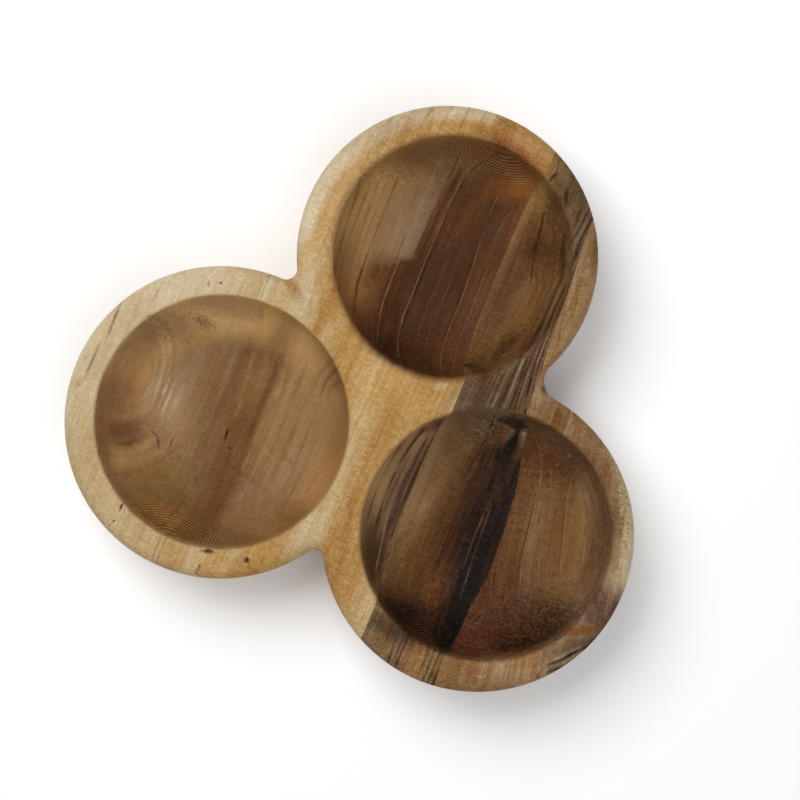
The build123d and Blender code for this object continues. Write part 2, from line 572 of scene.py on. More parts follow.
for size, colour, strength in [
    ((10, 24), sand, 0.4), ((15, 33), tan, 0.45), ((20, 42), sand, 0.4), ((26, 52), fawn, 0.35),
    ((33, 62), sand, 0.25),
]:
    oval = left_wood.ring((-105, -31), size, 2, 1.6) * left_wood.x.rise(-84, -94)
    wall = wall.over(oval * strength, colour)
below_knot = left_wood.y.rise(-50, -58)
for size, colour in [((27, 30), toffee), ((33, 38), brown), ((39, 46), toffee), ((46, 54), brown)]:
    oval = left_wood.ring((-100, -49), size, -10, 1.4) * below_knot
    wall = wall.over(oval * 0.35, colour)
# Short dark checks by the knot; the cream and sapwood streaks after them are painted reflections in the
# sheen on the wall.
wall = wall.spots(
    ((-85.4, -56.2), (1.3, 6.5), 32, 0.5, 0.6, chestnut, 0.85),
    ((-88.6, -53.2), (0.9, 4.0), 70, 0.5, 0.6, chestnut, 0.7),
    ((-80.2, -53.5), (1.2, 5.5), 6, 0.5, 0.6, chestnut, 0.5),
    ((-74.4, -58.6), (1.1, 2.4), 70, 0.6, 0.6, chestnut, 0.8),
    ((-63.6, -64.5), (1.2, 4.0), 80, 0.6, 0.9, umber, 0.4),
    ((-95.4, -34), (1.2, 13), 4, 0.8, 2.0, cream, 0.7),
    ((-92.2, -33), (1.3, 12), 2, 0.8, 2.0, cream, 0.8),
    ((-89.4, -37), (1.2, 11), 0, 0.8, 2.0, cream, 0.65),
    ((-85.6, -36), (2.4, 12), 0, 0.8, 1.6, cream, 0.35),
    ((-98.6, -36), (1.0, 14), -6, 0.8, 0.8, sapwood, 0.45),
)
wall = wall.lines(
    (3.4, toffee, 0.4, (-64.6, 16), (-62.6, 4), (-60.8, -10), (-59.6, -22)),
    (1.2, umber, 0.35, (-62.6, -58), (-63.4, -70), (-66, -84)),
    (1.6, tan, 0.35, (-70, -2), (-69.4, -20), (-68.6, -40)),
    (1.2, tan, 0.3, (-76, 4), (-75.4, -16), (-74.6, -32)),
    (0.9, sapwood, 0.35, (-101, -15), (-98, -20), (-96.6, -28), (-98, -38)),
)
stave(
    "left_stave",
    finish_wood(left_wood, pale, [(left_bowl, wall)], gloss=0.11, grain=0.28),
    ((-84.3, -84.6), 0.8, 2.4, 0.9, 8),
    ((-84.7, -91.6), 0.6, 1.4, 0.6, -30),
    ((-84.0, 20.0), 0.7, 1.0, 0.8, 0),
    ((-76.2, -37.8), 0.6, 0.9, 0.7, 0),
    ((-78.2, -84.4), 0.5, 3.2, 0.8, 66),
)


# Wide stave: the widest one, quarter-sawn, so that its rings run nearly straight down its faces. It holds
# the right part of the left bowl, most of the head bowl, the web between the bowls and the left edge of
# the right bowl, and is planed and glued on both edges.

wide_wood = Wood("wide_stave_teak", sample=101.0)

# Rim, web and outside of the wide stave.
across = wide_wood.x + wide_wood.drift
pale = across.bands(
    (-66, sapwood), (-56, straw), (-50, sapwood), (-44, straw), (-38, honey), (-34, straw), (-26, honey),
    (-14, honey), (-4, straw), (3, honey), (12, honey), (20, honey), (27, straw), (33, straw)
)
beside_head = wide_wood.from_axis(head_bowl.centre)
pale = pale.over(beside_head.rise(61.5, 57) * 0.7, honey)
outer_sapwood = beside_head.rise(57, 63) * wide_wood.y.rise(40, 56)
pale = pale.over(outer_sapwood * wide_wood.x.rise(-4, -6) * 0.85, cream)
head_lip = beside_head.rise(56.5, 50)
# Painted light: the left side of the head bowl's lip is painted amber where its wall lies in shade.
pale = pale.over(head_lip * wide_wood.x.rise(-10, -40) * 0.65, amber)
rusty_lip = head_lip * wide_wood.x.rise(-8, 6) * wide_wood.y.rise(90, 112)
pale = pale.over(rusty_lip * 0.7, rust)
pale = pale.spots(
    ((-54, 62), (6, 50), -4, 0.8, 0.6, wheat, 0.6),
    ((8, -30), (10, 60), 0, 0.9, 1.2, honey, 0.5),
    ((12, 8), (30, 10), 0, 0.9, 1.2, amber, 0.25),
    ((-44, 110), (9, 40), -42, 0.8, 0.8, tan, 0.35),
    ((3, -34), (9, 74), 0, 0.8, 2.0, amber, 0.4),
    ((-4, 4), (16, 26), 0, 0.9, 0.8, wheat, 0.6),
    ((8, 10), (30, 14), 0, 0.9, 0.6, wheat, 0.6),
    ((-56, 31.5), (4.5, 10), 60, 0.7, 0.8, rust, 0.55),
    ((-52, 28), (4, 9), 45, 0.8, 0.8, amber, 0.4),
    ((20, 18), (3.0, 5), -55, 0.7, 1.2, cream, 0.6),
    ((26, 17), (3, 12), -10, 0.8, 0.6, sand, 0.7),
    ((0.5, 128), (9.5, 14), 0, 0.25, 0.4, amber, 0.55),
    ((14, 127), (18, 14), 0, 0.6, 0.4, toffee, 0.8),
    ((8, 123), (34, 5), -6, 0.8, 0.6, rust, 0.6),
    ((-26, -84), (2.4, 2.8), 0, 0.6, 0.4, umber, 0.95),
    ((-24, -86.5), (2.6, 2.2), 0, 0.7, 0.8, amber, 0.5),
    ((-43.5, -95.5), (1.4, 5.0), -4, 0.6, 1.2, umber, 0.8),
    ((-43.3, -98.2), (1.0, 3.4), 80, 0.6, 0.8, umber, 0.7),
    ((-43.0, -87.4), (1.6, 6.0), -72, 0.5, 0.6, dark_umber, 0.9),
    ((-8, -62), (10, 22), -20, 0.9, 0.6, sapwood, 0.6),
    ((16, -76), (26, 18), 40, 0.9, 0.6, amber, 0.45),
    ((8, -56), (3, 30), 14, 0.8, 0.6, rust, 0.45),
    ((-50, -94), (50, 12), 0, 0.8, 0.4, wheat, 0.4),
)
pale = pale.lines(
    (0.8, rust, 0.7, (-4.6, 136), (-4.4, 130), (-4.0, 124)),
    (0.9, cream, 0.3, (6.0, 134), (7.0, 129), (7.4, 124)),
    (0.7, brown, 0.5, (-66.4, 31), (-66.0, 24)),
    (0.9, brown, 0.45, (-64.2, -89), (-63.4, -100)),
    (0.8, fawn, 0.5, (-61.6, -90), (-61.2, -102)),
    (0.7, fawn, 0.4, (-44.5, 121), (-46, 113)),
    (0.7, fawn, 0.4, (-37.5, 126), (-39, 117)),
    (0.8, fawn, 0.5, (-30.5, 130), (-32, 122)),
    (0.7, fawn, 0.4, (-23.5, 132), (-24.5, 124)),
    (0.8, brown, 0.4, (-16.8, 134), (-17.4, 124)),
    (0.7, fawn, 0.4, (-9.8, 135), (-10.4, 126)),
    (1.4, amber, 0.4, (-41, 30), (-39, 20), (-36, 10)),
    (1.2, amber, 0.35, (-47, 36), (-45, 26)),
    (0.9, tan, 0.7, (31.5, -78), (32.6, -96)),
    (0.8, straw, 0.6, (29.0, -82), (31.6, -93)),
)

# Its part of the left bowl.
left_wall = across.bands(
    (-62, golden_olive), (-55, brown), (-51, brown), (-49, brown), (-47.4, fawn), (-43, tan), (-32, tan),
    (-22, tan), (-13, toffee), (-6, wheat)
)
# Painted light: the wall by the mouth is painted pale where it lies in shade, most towards the upper left
# and a little at the bottom.
left_wall = left_wall.over(left_bowl.painted_light_by_mouth(wide_wood, 135, start=32, spread=60) * 0.85, painted_glow)
left_wall = left_wall.over(left_bowl.painted_light_by_mouth(wide_wood, 285, start=42) * 0.3, honey)
left_wall = left_wall.spots(
    ((-53, 8), (11, 20), 0, 0.9, 0.3, fawn, 0.6),
    ((-54, -8), (7, 26), 0, 0.8, 0.4, tan, 0.6),
    ((-46, -59), (14, 30), 0, 0.9, 0.6, chestnut, 0.5),
    ((-28, -34), (22, 56), 0, 0.9, 0.6, sand, 0.25),
    ((-24, 2), (14, 12), 20, 0.6, 0.4, rust, 0.3),
    ((-12, -18), (10, 34), 6, 0.8, 0.4, amber, 0.3),
    ((-14, -58), (12, 26), -24, 0.8, 0.4, toffee, 0.5),
    ((-49, -70), (7, 24), 0, 0.8, 0.4, chestnut, 0.55),
    ((-42, -82), (34, 11), 8, 0.8, 0.4, brown, 0.3),
    ((-32, -66), (22, 20), 0, 0.9, 0.4, brown, 0.35),
    ((-53, -50.5), (3.6, 11), 76, 0.8, 1.6, chestnut, 0.45),
    ((-46, -54.2), (1.8, 20), 82, 0.8, 1.6, chestnut, 0.4),
    ((-52, -52.0), (1.0, 9), 70, 0.7, 1.2, umber, 0.4),
    ((-59.0, -40.5), (0.9, 5.2), 6, 0.5, 0.4, dark_umber, 0.95),
    ((-61.8, -44.6), (1.1, 1.6), 0, 0.5, 0.4, umber, 0.9),
    ((-55.2, -45.6), (1.5, 1.1), 0, 0.5, 0.4, umber, 0.9),
    ((-29, -40), (1.2, 5), 80, 0.8, 0.8, brown, 0.5),
    ((-60, -27.5), (0.8, 2), 0, 0.6, 0.6, umber, 0.6),
)
left_wall = left_wall.specks(
    ((-16, -62), (16, 14), 30, 0.8, 3.0, brown, 0.6),
    ((-12, -22), (10, 30), 8, 0.8, 3.0, brown, 0.4),
    ((-40, -81), (38, 9), 8, 0.8, 3.8, umber, 0.35),
    ((-26, 10), (20, 8), -36, 0.8, 3.0, amber, 0.4),
)
swirl = wide_wood.y.rise(-12, -2)
for size, strength in [((10, 16), 0.4), ((16, 26), 0.6), ((24, 36), 0.35)]:
    oval = wide_wood.ring((-19, -6), size, 12, 1.4) * swirl
    left_wall = left_wall.over(oval * strength, brown)
left_wall = left_wall.lines(
    (3.6, toffee, 0.45, (-66.4, 16), (-64.0, 5), (-61.4, -8), (-59.8, -19), (-59.4, -30)),
    (4.6, brown, 0.5, (-53.4, 2), (-51.6, -14), (-50.6, -28), (-50.0, -44), (-50.2, -60), (-51.6, -78)),
    (1.6, umber, 0.35, (-51.0, -4), (-49.9, -16), (-49.2, -28), (-49.0, -38)),
    (1.8, wheat, 0.4, (-47.4, 12), (-47.0, 0), (-45.2, -14)),
    (1.5, toffee, 0.4, (-46.6, -14), (-46.2, -34), (-46.0, -50)),
    (1.1, brown, 0.4, (-43.8, -8), (-43.0, -30), (-42.6, -56)),
    (1.3, toffee, 0.5, (-41.6, 2), (-40.8, -20), (-40.4, -44), (-41.2, -62)),
    (1.1, brown, 0.42, (-38.4, 0), (-37.8, -24), (-37.4, -54)),
    (1.2, toffee, 0.4, (-35.6, -6), (-35.0, -30), (-34.6, -56)),
    (1.1, brown, 0.36, (-32.8, 2), (-32.2, -24), (-31.8, -54)),
    (1.2, toffee, 0.35, (-29.8, 4), (-29.4, -20), (-28.8, -48)),
    (1.1, brown, 0.4, (-26.8, -4), (-26.0, -22), (-25.2, -46)),
    (1.0, brown, 0.3, (-20.8, -26), (-21.0, -44), (-22, -58)),
    (1.6, toffee, 0.45, (-61.0, -58), (-62.0, -70), (-64.0, -84)),
)

# Its part of the head bowl: the rings lean a little, so they curve where they climb the wall.
floor_height = 10.5
ring_lean = 0.3
rings = wide_wood.x + wide_wood.shiver - (wide_wood.z - floor_height) * ring_lean
head_wall = rings.bands(
    (-56, amber), (-46, amber), (-38, amber), (-31, rust), (-26, brown), (-21.6, chestnut), (-18, umber),
    (-10, umber), (-4, umber), (8, umber), (16, chestnut), (23, chestnut)
)

# Past a ragged edge that slants over the floor, its bands are paler and greyer: a painted sheen, a lamp's
# reflection laid into the colour.
painted_sheen_edge = wide_wood.y - wide_wood.x * 1.05 - 14.7 + wide_wood.tatter * 8
painted_sheen_bands = rings.bands(
    (-56, wheat), (-48, toffee), (-40, toffee), (-33, tan), (-26, tan), (-20, ash), (-14.6, mauve),
    (-13.6, chestnut), (-9, chestnut), (-5, umber), (2, chestnut), (10, umber), (18, chestnut), (23, brown)
)
head_wall = head_wall.over(painted_sheen_edge.rise(65, 74), painted_sheen_bands)
# Painted light: the left and top walls by the mouth are painted paler where they lie in shade.
head_wall = head_wall.over(head_bowl.painted_light_by_mouth(wide_wood, 165, start=32, spread=34) * 0.8, painted_glow)
head_wall = head_wall.over(head_bowl.painted_light_by_mouth(wide_wood, 85, start=40, spread=24) * 0.4, toffee)
head_wall = head_wall.spots(
    # A painted sheen: these two pale ovals add to the lamp's reflection on the upper left of the floor.
    ((-19, 67), (11, 6), 0, 0.4, 0.8, ash, 0.5),
    ((-27, 80), (16, 26), 0, 0.8, 0.4, sand, 0.5),
    ((-20, 108), (26, 18), 20, 0.8, 0.6, chestnut, 0.75),
    ((17, 114), (24, 13), 30, 0.8, 0.8, rust, 0.85),
    ((20, 115), (12, 7), 30, 0.8, 0.8, amber, 0.7),
    ((21.5, 102), (3.4, 22), 0, 0.8, 0.4, rust, 0.4),
    ((15, 92), (11, 24), 0, 0.8, 0.4, plum, 0.45),
    ((0, 21), (46, 12), 0, 0.8, 0.3, dark_umber, 0.75),
    ((-4, 50), (12, 50), 0, 0.9, 0.3, umber, 0.4),
    ((4, 72), (14, 30), 0, 0.9, 0.3, russet, 0.2),
    ((15, 44), (18, 44), 0, 0.9, 0.3, umber, 0.5),
    ((14, 36), (20, 22), 0, 0.9, 0.3, russet, 0.25),
    ((-24, 30), (16, 20), 34, 0.9, 0.3, russet, 0.6),
    ((-38, 46), (13, 30), 24, 0.8, 0.3, rust, 0.6),
    ((-37, 78), (8, 40), 0, 0.9, 0.6, amber, 0.35),
    ((-28, 54), (8, 16), -12, 0.8, 1.2, umber, 0.5),
)
head_wall = head_wall.specks(
    ((-34, 104), (18, 18), 40, 0.7, 3.0, chestnut, 0.6),
    ((-12, 117), (34, 8), 6, 0.8, 3.4, umber, 0.5),
    ((-28, 90), (24, 22), 0, 0.8, 2.6, tan, 0.4),
    ((0, 119), (40, 5), 0, 0.8, 3.0, rust, 0.5),
    ((-42, 62), (8, 50), 6, 0.8, 3.0, brown, 0.4),
    ((4, 60), (30, 60), 0, 0.9, 3.0, dark_umber, 0.15),
)
head_wall = head_wall.lines(
    (1.2, chestnut, 0.6, (-47.2, 88), (-46.6, 70), (-45.2, 58), (-43, 48), (-39, 37), (-33, 27)),
    (0.8, rust, 0.5, (-44.0, 84), (-43.4, 66), (-41.4, 50), (-36, 36)),
    (0.6, brown, 0.5, (-41.2, 96), (-40.6, 78), (-39.2, 60), (-35.5, 42)),
    (0.6, brown, 0.4, (-37.8, 86), (-37.0, 68), (-35.2, 48)),
    (0.9, chestnut, 0.7, (-34.4, 92), (-33.8, 70), (-32.4, 50), (-31.4, 42), (-28.4, 33), (-24.5, 25)),
    (1.0, dark_umber, 0.6, (-32.6, 50), (-31.0, 42), (-28.0, 34)),
    (0.6, fawn, 0.45, (-29.0, 96), (-28.4, 76), (-27.4, 60)),
    (0.5, fawn, 0.4, (-24.6, 100), (-24.2, 80), (-23.6, 66)),
    (0.5, sand, 0.5, (-20.6, 108), (-20.4, 84), (-19.4, 66), (-18.9, 52), (-17.6, 38), (-13.5, 25)),
    (0.7, umber, 0.5, (-21.6, 72), (-20.6, 56), (-19.0, 40), (-15, 27)),
    (0.7, rust, 0.3, (-25.5, 58), (-24, 46), (-21, 36), (-15, 24)),
    (0.6, brown, 0.4, (-15.6, 52), (-14.6, 40), (-11.6, 28)),
    (0.5, ash, 0.55, (-0.5, 120.5), (-4, 116.5), (-7.4, 110), (-8.7, 100), (-8.8, 84), (-8.4, 66),
     (-8.0, 50), (-7.0, 36), (-4.0, 26), (0.6, 19)),
    (1.0, pitch, 0.6, (1.2, 120), (-2.7, 116), (-6.3, 110), (-7.6, 100), (-7.8, 84), (-7.4, 66),
     (-7.0, 50), (-5.9, 36), (-2.9, 26), (2.4, 19)),
    (2.2, dark_umber, 0.6, (-10.5, 108), (-11.2, 96), (-11.6, 80), (-11.8, 60), (-11.2, 44), (-9.4, 32),
     (-5, 22)),
    (0.8, umber, 0.8, (-13.6, 112), (-14.2, 90), (-13.8, 70)),
    (0.6, brown, 0.5, (-17.6, 112), (-17.8, 96)),
    (0.5, brown, 0.45, (-4.6, 104), (-5.2, 88), (-4.8, 70)),
    (0.5, brown, 0.5, (-1.0, 112), (-2.0, 96), (-1.8, 78)),
    (0.5, brown, 0.4, (0.4, 70), (0.8, 54), (1.4, 38)),
    (0.5, brown, 0.5, (4.8, 76), (5.6, 62), (6.0, 46)),
    (0.5, tan, 0.45, (9.4, 104), (9.8, 92), (11.2, 80), (12.6, 68), (13.4, 54), (13.8, 40), (15.4, 29),
     (19, 22)),
    (0.9, pitch, 0.5, (8.4, 104), (8.8, 92), (10.2, 80), (11.6, 68), (12.4, 54), (12.8, 40)),
    (0.6, mauve, 0.5, (20.4, 108), (17.2, 102), (16.6, 94), (17.2, 82), (18.8, 68), (19.4, 54), (19.8, 40),
     (22, 27)),
    (0.8, dark_umber, 0.5, (19.0, 106), (15.8, 100), (15.2, 92), (15.9, 80), (17.4, 66)),
    (1.2, chestnut, 0.5, (21.4, 78), (21.0, 62), (21.6, 46)),
    (0.6, chestnut, 0.5, (3.5, 114), (2.4, 100), (2.8, 84)),
    (0.5, brown, 0.5, (11, 112), (8.4, 106)),
    (0.5, chestnut, 0.6, (6, 40), (7.6, 30), (11.5, 22)),
    (0.5, chestnut, 0.6, (1.4, 36), (3.6, 28), (8, 20.5)),
)

# Its part of the right bowl.
right_wall = (wide_wood.x + wide_wood.shiver).bands(
    (7, toffee), (10, tan), (13.4, sand), (16.4, ash), (17.8, mauve), (19.6, plum), (21, mauve),
    (22.2, mauve), (24.4, plum), (26, plum), (28, fawn)
)
# Painted light: the left wall by the mouth is painted paler where it lies in shade.
right_wall = right_wall.over(right_bowl.painted_light_by_mouth(wide_wood, 165, start=38, spread=30) * 0.45, painted_glow)
right_wall = right_wall.spots(
    ((23.5, 1), (6, 14), -44, 0.6, 0.8, russet, 0.8),
    ((15, -14), (5, 22), -6, 0.8, 0.4, fawn, 0.5),
    ((25, -62), (10, 22), 30, 0.8, 0.4, dark_umber, 0.75),
    ((20, -58), (9, 30), 26, 0.8, 0.3, plum, 0.65),
    ((17, 4), (16, 5), -44, 0.8, 1.6, toffee, 0.6),
)
right_wall = right_wall.lines(
    (0.9, umber, 0.7, (15.6, -6), (13.8, -18), (12.8, -32), (13.8, -46)),
    (1.2, dark_umber, 0.9, (20.4, -4), (18.2, -14), (17.2, -26), (17.4, -38), (19.2, -50)),
    (0.6, sand, 0.8, (22.4, -8), (21.0, -20), (20.8, -32), (21.8, -44), (24.2, -56), (26.4, -66)),
    (0.6, ash, 0.8, (25.4, -2), (24.8, -16), (24.9, -32), (26.0, -46), (27.6, -58)),
    (1.1, dark_umber, 0.7, (23.8, -8), (23.0, -20), (22.8, -34), (24.0, -48)),
    (0.6, tan, 0.6, (27.6, 4), (27.4, -14), (27.6, -34), (28.2, -52), (29.2, -66)),
    (0.9, dark_umber, 0.8, (26.6, 2), (26.3, -14), (26.5, -34), (27.2, -52)),
)
bowls = [(left_bowl, left_wall), (head_bowl, head_wall), (right_bowl, right_wall)]
stave(
    "wide_stave",
    finish_wood(wide_wood, pale, bowls, gloss=0.04, grain=0.26),
    ((-42.7, -87.0), 1.2, 2.6, 1.6, -72),
    ((-26.0, -84.0), 1.3, 1.6, 0.9, 0),
    ((-43.5, -95.0), 0.5, 3.4, 0.7, 4),
    ((-58.9, -40.6), 0.5, 4.4, 0.7, 6),
    ((-55.2, -45.6), 0.7, 0.8, 0.6, 0),
)


# Dark stave: olive-brown heartwood, glued in between the wide and the right stave, with grey-black mineral
# streaks that run from the rim of the head bowl down the neck into the right bowl, where they spread into
# one black band. It is finished as the others are.

dark_wood = Wood("dark_stave_teak", sample=211.0)

# Rim, neck and outside of the dark stave.
across = dark_wood.x + dark_wood.drift
pale = across.bands(
    (22, tan), (28, fawn), (34, olive), (40, fawn), (46, ash), (52, mauve), (58, tan), (64, fawn),
    (76, tan)
)
neck = abs(dark_wood.y - 28).rise(26, 14)
pale = pale.over(neck * 0.9, across.bands((28, ash), (35, mauve), (42, ash), (49, mauve), (62, fawn)))
pale = pale.spots(
    ((28, 122), (6, 18), -10, 0.8, 1.0, tan, 0.4),
    ((38, 116), (18, 26), 40, 0.8, 1.0, ash, 0.6),
    ((46, 105), (10, 22), 24, 0.8, 0.8, ash, 0.7),
    ((27.6, 118.6), (1.4, 5), -20, 0.6, 0.8, dark_umber, 0.8),
    ((36.4, 113), (1.6, 8), 20, 0.6, 1.6, pitch, 0.7),
    ((44.6, 107), (1.6, 8), 6, 0.6, 1.6, umber, 0.7),
    ((32, 20), (6, 14), -66, 0.8, 1.4, ash, 0.5),
    ((34, 13), (14, 16), -50, 0.8, 0.8, mauve, 0.6),
    ((42, 24), (18, 14), 0, 0.9, 1.0, olive, 0.5),
    ((35.5, -94), (5, 12), 0, 0.8, 0.6, ash, 0.7),
    ((41, -92), (6, 14), 0, 0.8, 0.6, brown, 0.6),
    ((55, -92), (12, 14), 0, 0.8, 0.6, amber, 0.4),
    ((60, 20), (12, 5), 60, 0.8, 1.0, umber, 0.5),
    ((53.4, 78), (6, 62), -3, 0.8, 0.8, umber, 0.5),
)
pale = pale.specks(
    ((36, 14), (24, 16), -50, 0.8, 3.8, dark_umber, 0.55),
    ((37, 115), (28, 16), 40, 0.8, 3.8, dark_umber, 0.45),
    ((44, 27), (28, 22), 0, 0.9, 3.8, dark_umber, 0.55),
    ((51, 44), (8, 40), 0, 0.8, 2.6, umber, 0.4),
    ((47, 104), (12, 26), 24, 0.8, 3.0, dark_umber, 0.4),
    ((45, -86), (30, 8), 0, 0.8, 3.8, pitch, 0.7),
)
pale = pale.lines(
    (0.9, pitch, 0.9, (51.0, 113), (49.4, 101), (50.4, 90), (51.4, 78), (51.9, 60), (52.4, 48), (53.4, 38),
     (54.8, 31), (56.2, 25), (57.8, 20)),
    (0.6, pitch, 0.85, (52.6, 108), (51.6, 98), (52.2, 88), (53.0, 76), (53.5, 60), (54.0, 48), (55.2, 38),
     (57.0, 30)),
    (0.6, pitch, 0.8, (53.2, 100), (53.8, 86), (54.8, 70), (55.0, 58), (55.8, 45), (57.6, 36), (59.6, 31)),
    (0.8, dark_umber, 0.8, (49.0, 96), (50.2, 84), (50.6, 70), (50.5, 56), (50.4, 44), (51.2, 32),
     (52.6, 22)),
    (0.6, ash, 0.5, (51.2, 100), (51.4, 88), (52.2, 74), (52.7, 58), (53.2, 46)),
    (0.7, dark_umber, 0.8, (56.0, 48), (57.8, 38), (59.0, 34)),
    (0.6, dark_umber, 0.8, (54.2, 36), (55.0, 28), (56.4, 20)),
    (0.8, pitch, 0.8, (49.2, 42), (49.6, 32), (50.2, 20)),
    (0.7, cream, 0.3, (47.6, 40), (47.8, 30), (48.2, 20)),
    (0.7, pitch, 0.7, (46.2, 40), (46.2, 30), (46.4, 20)),
    (0.8, pitch, 0.7, (42.0, 32), (42.2, 20)),
    (0.6, cream, 0.25, (43.4, 34), (43.6, 21)),
    (0.6, sand, 0.5, (51.8, 36), (52.6, 28), (53.6, 20)),
    (0.6, plum, 0.7, (44.8, 34), (45.0, 20)),
    (0.5, umber, 0.5, (40.2, 30), (40.2, 20)),
    (0.6, umber, 0.6, (38.0, 28), (38.0, 19)),
    (0.5, umber, 0.4, (35.6, 26), (35.4, 18)),
    (0.6, umber, 0.6, (27.2, 131), (27.8, 123), (29.6, 116)),
    (0.6, umber, 0.5, (31.0, 130), (32.2, 122)),
    (0.7, umber, 0.6, (34.6, 127), (36.0, 119), (35.4, 112)),
    (0.6, umber, 0.6, (41.6, 122), (42.4, 114), (41.4, 106)),
    (0.7, dark_umber, 0.7, (47.4, 116), (47.2, 106), (46.4, 98)),
    (1.0, dark_umber, 0.8, (45.6, -87), (46.6, -99)),
    (1.0, plum, 0.6, (48.0, -87), (48.6, -94)),
    (1.0, dark_umber, 0.8, (50.4, -87), (50.6, -98)),
    (0.5, umber, 0.5, (53.6, -88), (54.0, -100)),
    (0.5, umber, 0.5, (57.4, -88), (57.6, -98)),
    (0.6, umber, 0.7, (60.6, -88), (61.0, -102)),
    (0.8, soot, 0.9, (63.0, -86), (63.6, -102)),
    (0.8, soot, 0.9, (65.6, -86), (65.4, -94), (66.2, -102)),
    (1.8, soot, 0.9, (68.2, -86), (68.4, -102)),
)

# Its part of the head bowl.
head_wall = (dark_wood.x + dark_wood.shiver).bands(
    (22, brown), (25, fawn), (28, brown), (32, brown), (36, golden_olive), (42, brown), (45, chestnut),
    (48, chestnut), (51, plum), (54, umber)
)
# Painted light: the right wall by the mouth is painted paler where it lies in shade.
head_wall = head_wall.over(head_bowl.painted_light_by_mouth(dark_wood, 60, start=34) * 0.8, honey)
head_wall = head_wall.spots(
    ((28, 92), (8, 34), 6, 0.9, 0.6, fawn, 0.4),
    ((37, 96), (16, 20), 20, 0.8, 1.0, chestnut, 0.5),
    ((35.5, 91), (7, 12), 20, 0.8, 1.0, umber, 0.5),
    ((43, 90), (8, 20), 16, 0.8, 1.0, chestnut, 0.5),
    ((34, 108), (5, 14), 34, 0.7, 1.4, umber, 0.6),
    ((39, 62), (12, 40), 2, 0.8, 0.3, amber, 0.5),
    ((34, 44), (20, 24), 0, 0.9, 0.3, golden_olive, 0.5),
    ((27, 56), (9, 34), 2, 0.9, 0.4, chestnut, 0.5),
    ((36, 54), (20, 40), 2, 0.9, 0.5, golden_olive, 0.6),
    ((42, 68), (5, 30), 2, 0.9, 0.3, rust, 0.4),
    ((36, 31), (14, 6), -60, 0.8, 0.6, umber, 0.5),
    ((44, 104), (8, 30), 34, 0.8, 0.6, brown, 0.4),
    ((28, 31.3), (1.6, 8), -76, 0.6, 1.6, pitch, 0.9),
)
head_wall = head_wall.specks(
    ((39.6, 46), (4.6, 22), -20, 0.6, 4.0, dark_umber, 0.85),
    ((36, 92), (22, 26), 10, 0.8, 3.6, umber, 0.6),
    ((30, 74), (10, 50), 2, 0.9, 3.4, chestnut, 0.5),
    ((36, 56), (20, 46), 2, 0.9, 3.4, umber, 0.45),
    ((33, 30), (16, 6), -30, 0.8, 3.6, dark_umber, 0.7),
    ((46, 80), (8, 40), 6, 0.8, 3.4, dark_umber, 0.4),
)
head_wall = head_wall.lines(
    (1.6, tan, 0.5, (25.0, 118), (23.8, 104), (23.4, 84), (23.2, 62), (23.6, 46)),
    (0.6, chestnut, 0.8, (26.6, 104), (27.6, 90), (28.6, 78), (30.2, 62)),
    (0.5, brown, 0.7, (24.8, 88), (25.6, 76), (27.4, 60)),
    (0.5, chestnut, 0.6, (29.6, 106), (30.8, 92), (31.8, 78)),
    (0.8, pitch, 0.75, (30.6, 108), (33.0, 99), (34.6, 92), (36.6, 84), (38.6, 77)),
    (1.2, pitch, 0.7, (33.4, 96), (33.8, 90)),
    (0.6, umber, 0.7, (35.4, 94), (37.4, 86), (40.2, 79)),
    (0.5, umber, 0.7, (39.4, 100), (41.0, 90), (42.4, 80)),
    (1.2, pitch, 0.7, (43.6, 98), (46.2, 90), (47.6, 84)),
    (1.6, pitch, 0.75, (45.6, 94), (48.6, 86), (49.6, 74), (49.6, 62), (48.6, 52), (45.6, 42), (41, 35)),
    (0.9, russet, 0.7, (47.0, 80), (47.2, 68), (47.0, 58), (46.0, 48)),
    (0.5, umber, 0.6, (45.0, 76), (45.6, 62), (44.8, 50)),
    (0.6, olive, 0.6, (33.6, 72), (33.8, 60), (34.4, 46)),
    (0.5, brown, 0.6, (36.0, 78), (36.4, 64), (36.2, 50)),
    (0.5, brown, 0.6, (42.4, 80), (43.2, 66), (42.6, 52)),
    (0.9, pitch, 0.85, (51.4, 92), (51.9, 76), (51.8, 60), (51.2, 46)),
    (0.9, pitch, 0.85, (53.0, 90), (53.4, 72), (53.2, 54)),
    (0.7, pitch, 0.7, (54.6, 84), (55.0, 70), (54.6, 56)),
    (0.5, ash, 0.4, (50.6, 82), (50.9, 66), (50.3, 52)),
    (0.4, ash, 0.4, (52.5, 80), (52.7, 66), (52.5, 54)),
)

# Its part of the right bowl, with the black band.
right_wall = (dark_wood.x + dark_wood.shiver).bands(
    (28, tan), (31, sand), (35, tan), (39, brown), (43, olive), (47, chestnut), (51, umber),
    (56, dark_umber), (60, dark_umber), (64, umber), (67, pitch), (72, pitch)
)
right_wall = right_wall.over(dark_wood.y.rise(-48, -62) * 0.6, chestnut)
